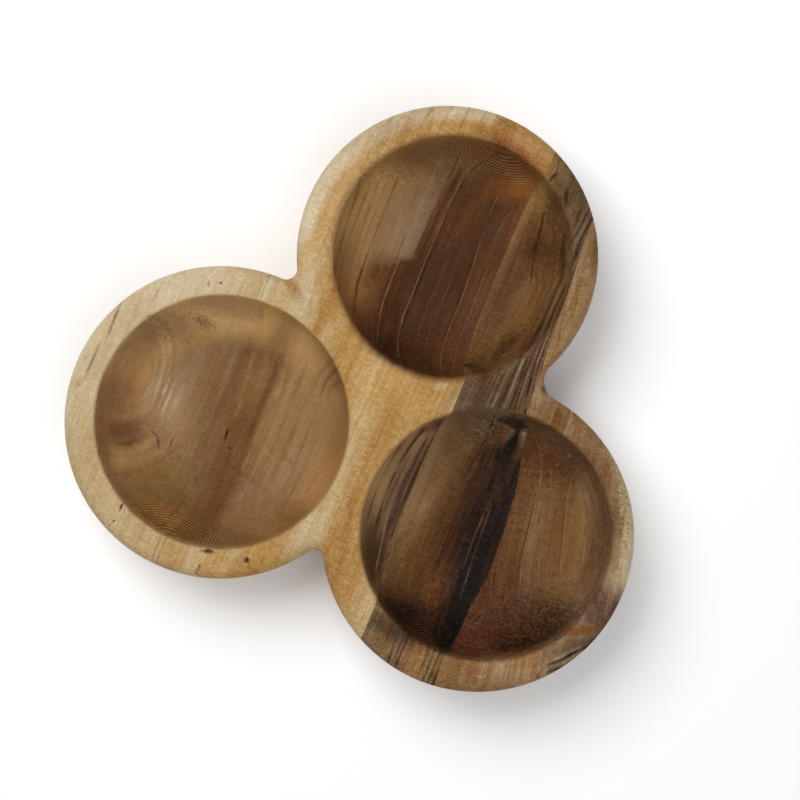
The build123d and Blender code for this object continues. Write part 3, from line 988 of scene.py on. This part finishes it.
# Painted light: the upper left wall by the mouth is painted paler where it lies in shade.
right_wall = right_wall.over(right_bowl.painted_light_by_mouth(dark_wood, 118, start=33, spread=40), sand)
right_wall = right_wall.spots(
    ((36, -6), (13, 24), 0, 0.9, 0.4, golden_olive, 0.75),
    # A painted sheen: the pale tan patch of a lamp's reflection on the left of the floor.
    ((34, -34), (9, 36), 0, 0.9, 0.4, tan, 0.5),
    ((38, -58), (16, 26), 0, 0.9, 0.4, golden_olive, 0.6),
    ((32, -54), (8, 24), 0, 0.9, 0.6, brown, 0.5),
    ((51, -58), (12, 30), 2, 0.8, 0.6, chestnut, 0.6),
    ((56, -68), (8, 18), 2, 0.8, 0.6, rust, 0.3),
    ((46, -81), (34, 10), 4, 0.8, 0.6, dark_umber, 0.45),
    ((46, -80), (12, 5), 40, 0.8, 1.0, pitch, 0.7),
    ((53.6, 9), (7, 8), 0, 0.6, 0.8, brown, 0.8),
    ((54.8, 9), (3, 4), 0, 0.8, 0.8, rust, 0.7),
    ((54, -4), (10, 14), 0, 0.8, 1.2, umber, 0.6),
    ((57, 16.5), (16, 6), 8, 0.5, 1.4, soot, 0.85),
    ((59.6, 4), (5, 14), -4, 0.5, 1.2, soot, 0.95),
    ((64.0, 6), (5, 10), 8, 0.8, 1.2, russet, 0.6),
    ((66.6, -50), (12, 96), 4, 0.35, 0.7, soot, 0.95),
    ((64.6, -12), (5, 16), 8, 0.7, 0.8, umber, 0.6),
    ((62, -26), (2.4, 16), 6, 0.7, 0.8, russet, 0.6),
)
right_wall = right_wall.specks(
    ((38, 8), (24, 12), -8, 0.7, 4.0, umber, 0.5),
    ((40, 15), (26, 6), -16, 0.8, 4.0, dark_umber, 0.4),
    ((54, -8), (14, 36), 0, 0.8, 3.4, dark_umber, 0.6),
    ((44, -81), (34, 14), 0, 0.8, 3.8, pitch, 0.8),
    ((36, -16), (14, 30), 0, 0.8, 3.0, brown, 0.5),
    ((46, -30), (10, 60), 0, 0.8, 3.4, umber, 0.6),
    ((60, -46), (14, 70), 3, 0.8, 3.4, pitch, 0.6),
)
right_wall = right_wall.lines(
    (3.6, soot, 0.95, (59.5, 14), (60.2, 8), (60.6, 2), (61.4, -4), (64.8, -12), (69.4, -20), (71.2, -32),
     (72.0, -44), (72.6, -56), (72.0, -66), (70.0, -74), (70.0, -88)),
    (1.8, soot, 0.95, (66.8, -2), (68.0, -12), (69.4, -26)),
    (1.8, soot, 0.9, (56.0, 2), (57.6, -6), (59.0, -14), (61.6, -22), (60.8, -30), (62.8, -40),
     (63.4, -48), (66.4, -60)),
    (0.8, soot, 0.8, (58.4, -18), (58.8, -26), (60.2, -36)),
    (7.0, soot, 0.95, (67.6, -58), (67.2, -70), (66.6, -78), (67.0, -88)),
    (3.0, soot, 0.8, (64.0, -66), (62.6, -74), (62.0, -82)),
    (0.5, mauve, 0.45, (63.4, -26), (64.4, -40), (65.4, -52), (66.6, -62)),
    (0.5, brown, 0.6, (61.4, -30), (61.8, -40), (62.6, -50)),
    (0.8, pitch, 0.8, (47.4, 14), (48.4, 6), (47.6, -4), (46.8, -14)),
    (0.7, pitch, 0.8, (50.4, 12), (49.8, 4), (51.2, -6), (52.4, -18)),
    (0.8, pitch, 0.8, (53.4, 4), (54.2, -8), (55.6, -20)),
    (0.6, chestnut, 0.6, (40.8, -6), (41.2, -26), (42.0, -48)),
    (0.8, chestnut, 0.6, (43.0, -14), (42.4, -34), (42.8, -54)),
    (0.7, umber, 0.7, (45.4, -8), (44.8, -28), (45.2, -48)),
    (0.8, umber, 0.7, (48.6, -10), (48.0, -30), (48.8, -52)),
    (0.6, pitch, 0.6, (50.8, -16), (50.4, -34), (51.4, -54)),
    (0.7, brown, 0.6, (53.8, -40), (54.4, -52), (55.0, -66)),
    (0.7, umber, 0.6, (57.4, -40), (57.8, -52), (58.0, -66)),
    (0.5, brown, 0.5, (37.0, -2), (36.6, -20), (37.0, -44)),
    (0.5, brown, 0.4, (33.4, 0), (33.0, -24), (33.6, -50)),
    (0.8, sand, 0.4, (29.2, 6), (29.0, -20), (29.4, -46), (31.0, -68)),
    (1.2, umber, 0.6, (61.0, -56), (62.4, -66), (62.6, -78)),
)
bowls = [(head_bowl, head_wall), (right_bowl, right_wall)]
stave(
    "dark_stave",
    finish_wood(dark_wood, pale, bowls, gloss=0.03, grain=0.42),
    ((66.2, -97), 0.6, 4.0, 0.8, 2),
)


# Right stave: the outer part of the right lobe, of reddish heartwood whose rings slant outwards. It has pale
# sapwood along its edge and a pocket of bark and grey dead wood at the lower right, and is glued along one
# edge to the dark stave.

right_wood = Wood("right_stave_teak", sample=307.0, lean=12.0)
slant = right_wood.x + (right_wood.y + 20) * 0.3 + right_wood.drift

# Rim, neck and outside of the right stave, with the bark pocket.
across = right_wood.x + right_wood.drift
pale = across.bands((50, tan), (62, sand), (72, tan), (84, tan), (98, sand), (112, sapwood), (124, sapwood))
beside_right = right_wood.from_axis(right_bowl.centre)
pale = pale.over(beside_right.rise(62, 56) * 0.6, tan)
outer_sapwood = beside_right.rise(59, 64) * right_wood.x.rise(86, 104)
pale = pale.over(outer_sapwood * right_wood.y.rise(-34, -24) * 0.5, sapwood)
pale = pale.spots(
    ((57, 78), (9, 64), 0, 0.9, 0.8, tan, 0.7),
    ((60.5, 72), (4, 50), -6, 0.9, 0.8, honey, 0.5),
    ((58.5, 46), (5, 14), 0, 0.7, 0.6, toffee, 0.7),
    ((58, 102), (9, 18), 0, 0.8, 0.8, fawn, 0.5),
    ((68, 23), (18, 6), -10, 0.8, 1.4, tan, 0.6),
    ((64, 30), (10, 8), 0, 0.8, 1.4, sand, 0.6),
    ((61, 34), (4, 3), 0, 0.7, 0.8, russet, 0.7),
    ((95, 10), (12, 34), 46, 0.8, 1.4, ash, 0.6),
    ((110, -8), (8, 34), 26, 0.8, 1.4, mauve, 0.45),
    ((84, -93), (40, 18), 0, 0.9, 1.0, tan, 0.5),
    ((104, -76), (22, 14), -40, 0.8, 0.8, amber, 0.6),
    ((80, -88), (20, 5), 8, 0.8, 0.8, rust, 0.5),
    ((122, -44), (15, 26), 0, 0.4, 0.7, mauve, 0.9),
    ((119, -40), (8, 16), 10, 0.7, 0.8, plum, 0.7),
    ((126, -42), (4, 20), 0, 0.7, 0.8, plum, 0.8),
    ((117, -54), (4, 18), -62, 0.6, 0.6, amber, 0.95),
    ((119, -64), (14, 28), -42, 0.4, 0.9, ash, 0.9),
    ((123, -58), (3.0, 13), -36, 0.6, 1.6, pitch, 0.95),
    ((117.5, -64), (1.8, 17), -40, 0.6, 1.6, pitch, 0.85),
    ((113.6, -69), (1.4, 14), -44, 0.6, 1.6, pitch, 0.7),
    ((115, -73), (3.0, 9), -46, 0.6, 1.6, soot, 0.95),
    ((120.5, -64), (2.0, 19), -40, 0.6, 1.6, cream, 0.9),
    ((115.6, -65), (1.8, 16), -42, 0.6, 1.6, cream, 0.8),
    ((118.4, -70), (1.8, 13), -44, 0.6, 1.6, sapwood, 0.8),
    ((111.4, -67), (2.2, 16), -46, 0.6, 1.6, sand, 0.7),
    ((108, -80), (1.6, 10), -4, 0.6, 1.0, rust, 0.7),
    ((105, -76), (1.0, 10), 6, 0.6, 1.0, rust, 0.5),
)
pale = pale.specks(
    ((72, 25), (28, 10), -8, 0.8, 3.8, brown, 0.7),
    ((98, 8), (14, 44), 44, 0.8, 3.8, brown, 0.8),
    ((114, -14), (8, 34), 20, 0.8, 3.8, brown, 0.7),
    ((57, 76), (8, 70), 0, 0.8, 3.0, brown, 0.5),
    ((86, -91), (44, 16), 0, 0.8, 3.0, brown, 0.5),
    ((118, -60), (14, 34), -30, 0.8, 3.8, umber, 0.6),
)
pale = pale.lines(
    (0.5, cream, 0.4, (64.4, 33), (64.4, 24)),
    (0.5, cream, 0.4, (68.4, 31), (68.6, 22)),
    (0.6, fawn, 0.7, (73, 30), (73.4, 22)),
    (0.5, cream, 0.4, (76, 30), (76.6, 21)),
    (0.6, fawn, 0.7, (78.5, 29), (79, 20)),
    (0.6, fawn, 0.7, (84, 28), (85, 17)),
    (0.6, fawn, 0.5, (88, 25), (89, 15)),
    (0.5, fawn, 0.6, (66.0, 32), (66.4, 24)),
    (0.7, fawn, 0.6, (92.0, 26), (94, 14)),
    (0.6, rust, 0.4, (62.4, 90), (62.8, 76), (62.2, 62)),
    (0.5, brown, 0.5, (58.4, 100), (58.8, 84), (58.4, 66), (58.0, 50)),
    (0.4, brown, 0.5, (56.4, 104), (56.6, 88), (56.4, 70)),
    (0.6, brown, 0.5, (74, -89), (74.6, -98)),
    (0.6, brown, 0.5, (80.6, -88), (81.4, -98)),
    (0.6, brown, 0.5, (88, -86), (89, -96)),
    (0.7, brown, 0.5, (96, -82), (97.4, -92)),
)

# Its part of the right bowl, whose rings slant; the edge of the black band runs over the glue line.
right_wall = slant.bands(
    (60, russet), (68, chestnut), (76, chestnut), (82, brown), (88, brown), (96, brown), (104, tan),
    (112, fawn), (122, brown)
)
right_wall = right_wall.spots(
    # A painted sheen: the pale fawn and grey patch where a lamp's reflection falls on the floor.
    ((87, -30), (11, 38), 12, 0.9, 0.4, fawn, 0.7),
    ((87, -28), (8, 26), 12, 0.9, 0.4, ash, 0.5),
    ((103, -26), (16, 36), 14, 0.8, 0.5, amber, 0.45),
    ((108, -30), (10, 30), 14, 0.8, 0.5, tan, 0.4),
    ((82, 6), (20, 14), 40, 0.8, 0.6, russet, 0.7),
    ((86, 6), (7, 10), 20, 0.8, 0.6, plum, 0.6),
    ((75, 6), (12, 26), 12, 0.9, 0.5, russet, 0.6),
    ((93, -65), (50, 28), -30, 0.8, 0.4, russet, 0.9),
    ((105, -61), (24, 30), -32, 0.8, 0.6, dark_umber, 0.85),
    ((78, -76), (20, 20), 0, 0.8, 0.4, russet, 0.6),
    ((97, -71.5), (3.4, 22), -58, 0.5, 1.2, soot, 0.95),
    ((114, -38), (6, 30), 10, 0.8, 1.2, mauve, 0.4),
    ((112, -56), (8, 24), -20, 0.8, 0.6, russet, 0.7),
    ((109, -58), (11, 24), -30, 0.8, 0.6, pitch, 0.6),
    ((84.2, 12.6), (0.7, 1.8), 0, 0.5, 0.6, cream, 0.8),
    ((82, 7), (0.5, 1.3), 0, 0.5, 0.6, cream, 0.7),
    ((76, -24), (8, 40), 10, 0.9, 0.5, brown, 0.5),
)
right_wall = right_wall.specks(
    ((82, 12), (30, 12), -20, 0.8, 3.4, chestnut, 0.5),
    ((106, -30), (20, 44), 12, 0.8, 3.4, brown, 0.5),
    ((92, -68), (40, 22), -30, 0.8, 3.4, dark_umber, 0.5),
    ((112, -14), (8, 44), 14, 0.8, 3.4, chestnut, 0.6),
    ((84, -30), (30, 60), 0, 0.9, 3.4, brown, 0.4),
)
right_wall = right_wall.lines(
    (0.5, tan, 0.5, (69.0, 13), (74.6, 6), (78.2, -2), (80.6, -12), (82.6, -21), (84.2, -30), (86.0, -40),
     (88.6, -48)),
    (0.7, umber, 0.6, (67.8, 13), (73.4, 6), (77.2, -2), (79.6, -12), (81.6, -21), (83.2, -30),
     (85.0, -40), (87.6, -48), (92.6, -60)),
    (0.7, umber, 0.5, (78.0, 14), (84, 6), (88.6, -2), (92.4, -10)),
    (0.4, tan, 0.5, (90.6, 2), (93.6, -8), (96.6, -17), (99.6, -26), (102.6, -35), (106, -42), (110, -47)),
    (0.6, umber, 0.5, (89.8, 2), (92.8, -8), (95.8, -17), (98.8, -26), (101.8, -35), (105, -42)),
    (0.5, sand, 0.7, (106.8, -19), (109.8, -29)),
    (0.5, toffee, 0.5, (101.6, -9), (104.8, -16)),
    (0.4, tan, 0.5, (71.4, -18), (73.0, -32), (74.6, -46), (78.6, -58), (82.4, -68)),
    (0.6, umber, 0.4, (72.2, -22), (73.8, -34), (75.6, -46)),
    (0.8, umber, 0.6, (88.6, 12), (96, 5), (103, -3), (109, -12)),
    (0.6, umber, 0.6, (91.6, 12), (99, 5), (106, -3), (111.6, -13), (114, -24)),
    (0.5, umber, 0.5, (84, 14), (91, 7), (98, -1), (104, -10), (108, -20)),
    (0.7, umber, 0.5, (71, 17), (78, 13), (84, 8)),
    (0.6, umber, 0.4, (92.4, -30), (94.6, -38), (98, -46)),
    (0.5, umber, 0.35, (88.0, -24), (90.4, -36), (93.6, -46), (98, -54)),
    (0.6, tan, 0.5, (97, 10), (104, 2), (110, -8), (114, -18)),
)
# Painted light: the upper right wall by the mouth is painted paler, in grey.
right_wall = right_wall.over(right_bowl.painted_light_by_mouth(right_wood, 45, start=42, spread=30) * 0.4, ash)
streak_edge = right_wood.path([
    (62, 14), (66, 4), (69.6, -8), (71.6, -20), (73.2, -34), (74.0, -48), (73.8, -58), (72.0, -70), (70, -88)
])
past_edge = right_wood.x + right_wood.shiver * 0.5 - streak_edge
right_wall = right_wall.over(past_edge.rise(0.5, -0.3) * 0.9, soot)
bowls = [(head_bowl, pale), (right_bowl, right_wall)]
stave(
    "right_stave",
    finish_wood(right_wood, pale, bowls, gloss=0.045, grain=0.44),
    ((123.0, -59.0), 1.6, 7.0, 1.6, -36),
    ((117.6, -64.0), 0.9, 9.0, 1.2, -40),
    ((115.0, -73.0), 1.6, 5.0, 1.4, -46),
    ((108.2, -80.0), 0.5, 5.0, 0.6, -4),
)


# The studio: a plain white table under two soft lamps, a strong one at the upper left and a broad weaker one
# at the lower right. To the camera the table turns plain white far from the dish, as the room behind it is.

table_size = 6.0
table_tone = 0.92
shown_tone = 1.08
lit_reach = 0.5
white_reach = 1.6
room_light = 0.21
bpy.ops.mesh.primitive_plane_add(size=table_size)
table = bpy.context.object
table.name = "table"


def seen_directly(tree):
    """1 for what the camera, a reflection or clear glass shows, and 0 for light that falls on the object."""
    rays = tree.nodes.new("ShaderNodeLightPath").outputs
    seen = {0: rays["Is Camera Ray"], 1: rays["Is Glossy Ray"]}
    seen = {0: put_node(tree, "ShaderNodeMath", seen, operation="ADD"), 1: rays["Is Transmission Ray"]}
    return put_node(tree, "ShaderNodeMath", seen, operation="ADD")


cover = bpy.data.materials.new("white_table")
cover.use_nodes = True
tree = cover.node_tree
white = tree.nodes["Principled BSDF"].inputs
white["Roughness"].default_value = 1.0
white["Specular IOR Level"].default_value = 0.0
white["Emission Color"].default_value = (1, 1, 1, 1)
seen = seen_directly(tree)
tones = {"Under": (table_tone, table_tone, table_tone, 1), "Colour": (shown_tone, shown_tone, shown_tone, 1)}
fill(tree, white["Base Color"], lay_colour(tree, seen, tones))
place = put_node(tree, "ShaderNodeTexCoord", {}, output="Object")
away = put_node(tree, "ShaderNodeVectorMath", {0: place}, output="Value", operation="LENGTH")
shining = {0: smooth_step(tree, away, lit_reach, white_reach), 1: seen}
fill(tree, white["Emission Strength"], put_node(tree, "ShaderNodeMath", shining, operation="MULTIPLY"))
table.data.materials.append(cover)

studio = bpy.data.worlds.new("studio")
studio.use_nodes = True
tree = studio.node_tree
room = tree.nodes["Background"].inputs
light = {0: seen_directly(tree), 1: 1 - room_light, 2: room_light}
room["Color"].default_value = (1, 1, 1, 1)
fill(tree, room["Strength"], put_node(tree, "ShaderNodeMath", light, operation="MULTIPLY_ADD"))
bpy.context.scene.world = studio


def lamp(name, bearing, height, distance, size, power):
    """A square soft lamp aimed at the dish; bearing is from +x and height from the table, in degrees."""
    light = bpy.data.lights.new(name, "AREA")
    light.size = size
    light.energy = power
    stand = bpy.data.objects.new(name, light)
    turn, rise = radians(bearing), radians(height)
    stand.location = distance * Vector((cos(rise) * cos(turn), cos(rise) * sin(turn), sin(rise)))
    stand.rotation_euler = (-stand.location).to_track_quat("-Z", "Y").to_euler()
    bpy.context.scene.collection.objects.link(stand)


lamp("strong_lamp", bearing=152, height=57, distance=1.1, size=0.7, power=8.6)
lamp("broad_lamp", bearing=-28, height=54, distance=1.2, size=1.3, power=6.0)

# The camera looks straight down, turned so that the grain leans as it does in the photograph.
camera_height = 0.695
camera_place = (0.00626, 0.00505)
camera_turn = 23.8
view_width_at_rim = 0.34194
rim_height = 0.045
camera = bpy.data.objects.new("camera", bpy.data.cameras.new("camera"))
camera.location = (*camera_place, camera_height)
camera.rotation_euler = (0, 0, radians(camera_turn))
camera.data.lens = camera.data.sensor_width * (camera_height - rim_height) / view_width_at_rim
bpy.context.scene.collection.objects.link(camera)
bpy.context.scene.camera = camera
bpy.context.scene.view_settings.view_transform = "Standard"
